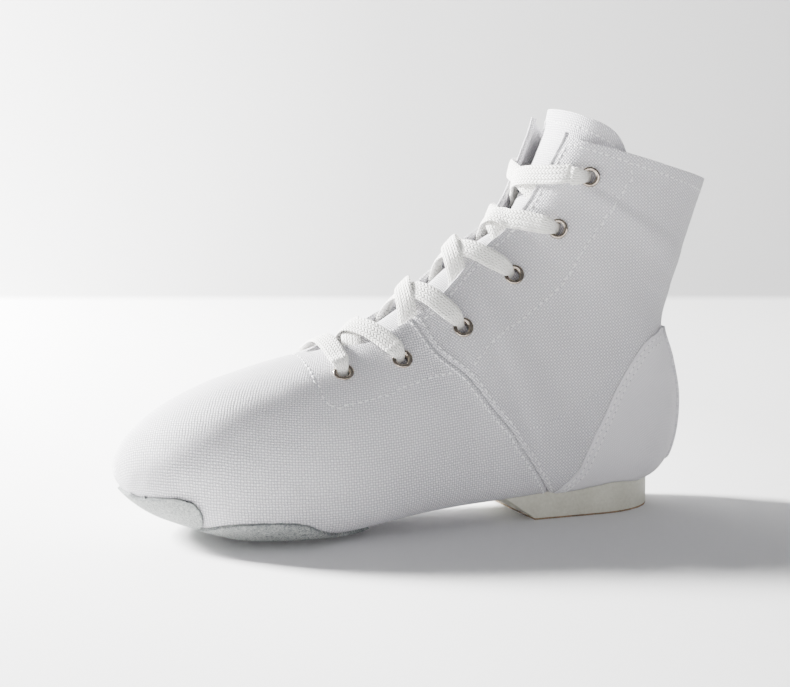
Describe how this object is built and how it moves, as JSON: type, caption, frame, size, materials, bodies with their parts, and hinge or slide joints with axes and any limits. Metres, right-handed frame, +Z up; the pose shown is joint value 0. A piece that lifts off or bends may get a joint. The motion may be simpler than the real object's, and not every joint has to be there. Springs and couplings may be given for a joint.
{
  "type": "jazz shoe",
  "caption": "Lace-up ankle-high canvas jazz boot for the left foot, with a split suede sole and a low rubber heel.",
  "frame": {"origin": "on the floor, under the heel block", "axes": "-X towards the toe, -Y towards the little-toe side, +Z up"},
  "size_m": [0.2525, 0.0861, 0.1652],
  "materials": {
    "canvas": "plain-woven white cotton canvas",
    "insole_cloth": "smooth white cloth",
    "suede": "napped grey suede",
    "heel_rubber": "matt off-white rubber",
    "tread_rubber": "matt tan rubber",
    "nickel": "polished nickel",
    "lace_braid": "flat braided cream cotton"
  },
  "bodies": {
    "root": {"back_strip": "canvas", "ball_patch": "suede", "counter": "canvas", "eyelet_1_in": "nickel", "eyelet_1_out": "nickel", "eyelet_2_in": "nickel", "eyelet_2_out": "nickel", "eyelet_3_in": "nickel", "eyelet_3_out": "nickel", "eyelet_4_in": "nickel", "eyelet_4_out": "nickel", "eyelet_5_in": "nickel", "eyelet_5_out": "nickel", "eyelet_6_in": "nickel", "eyelet_6_out": "nickel", "heel": "heel_rubber", "heel_tread": "tread_rubber", "insole": "insole_cloth", "lace_bar": "lace_braid", "lace_crossing_2": "lace_braid", "lace_crossing_3": "lace_braid", "lace_crossing_4": "lace_braid", "lace_crossing_5": "lace_braid", "lace_crossing_6": "lace_braid", "quarter_in": "canvas", "quarter_out": "canvas", "toe_patch": "suede", "tongue": "canvas", "vamp": "canvas"}
  },
  "joints": []
}
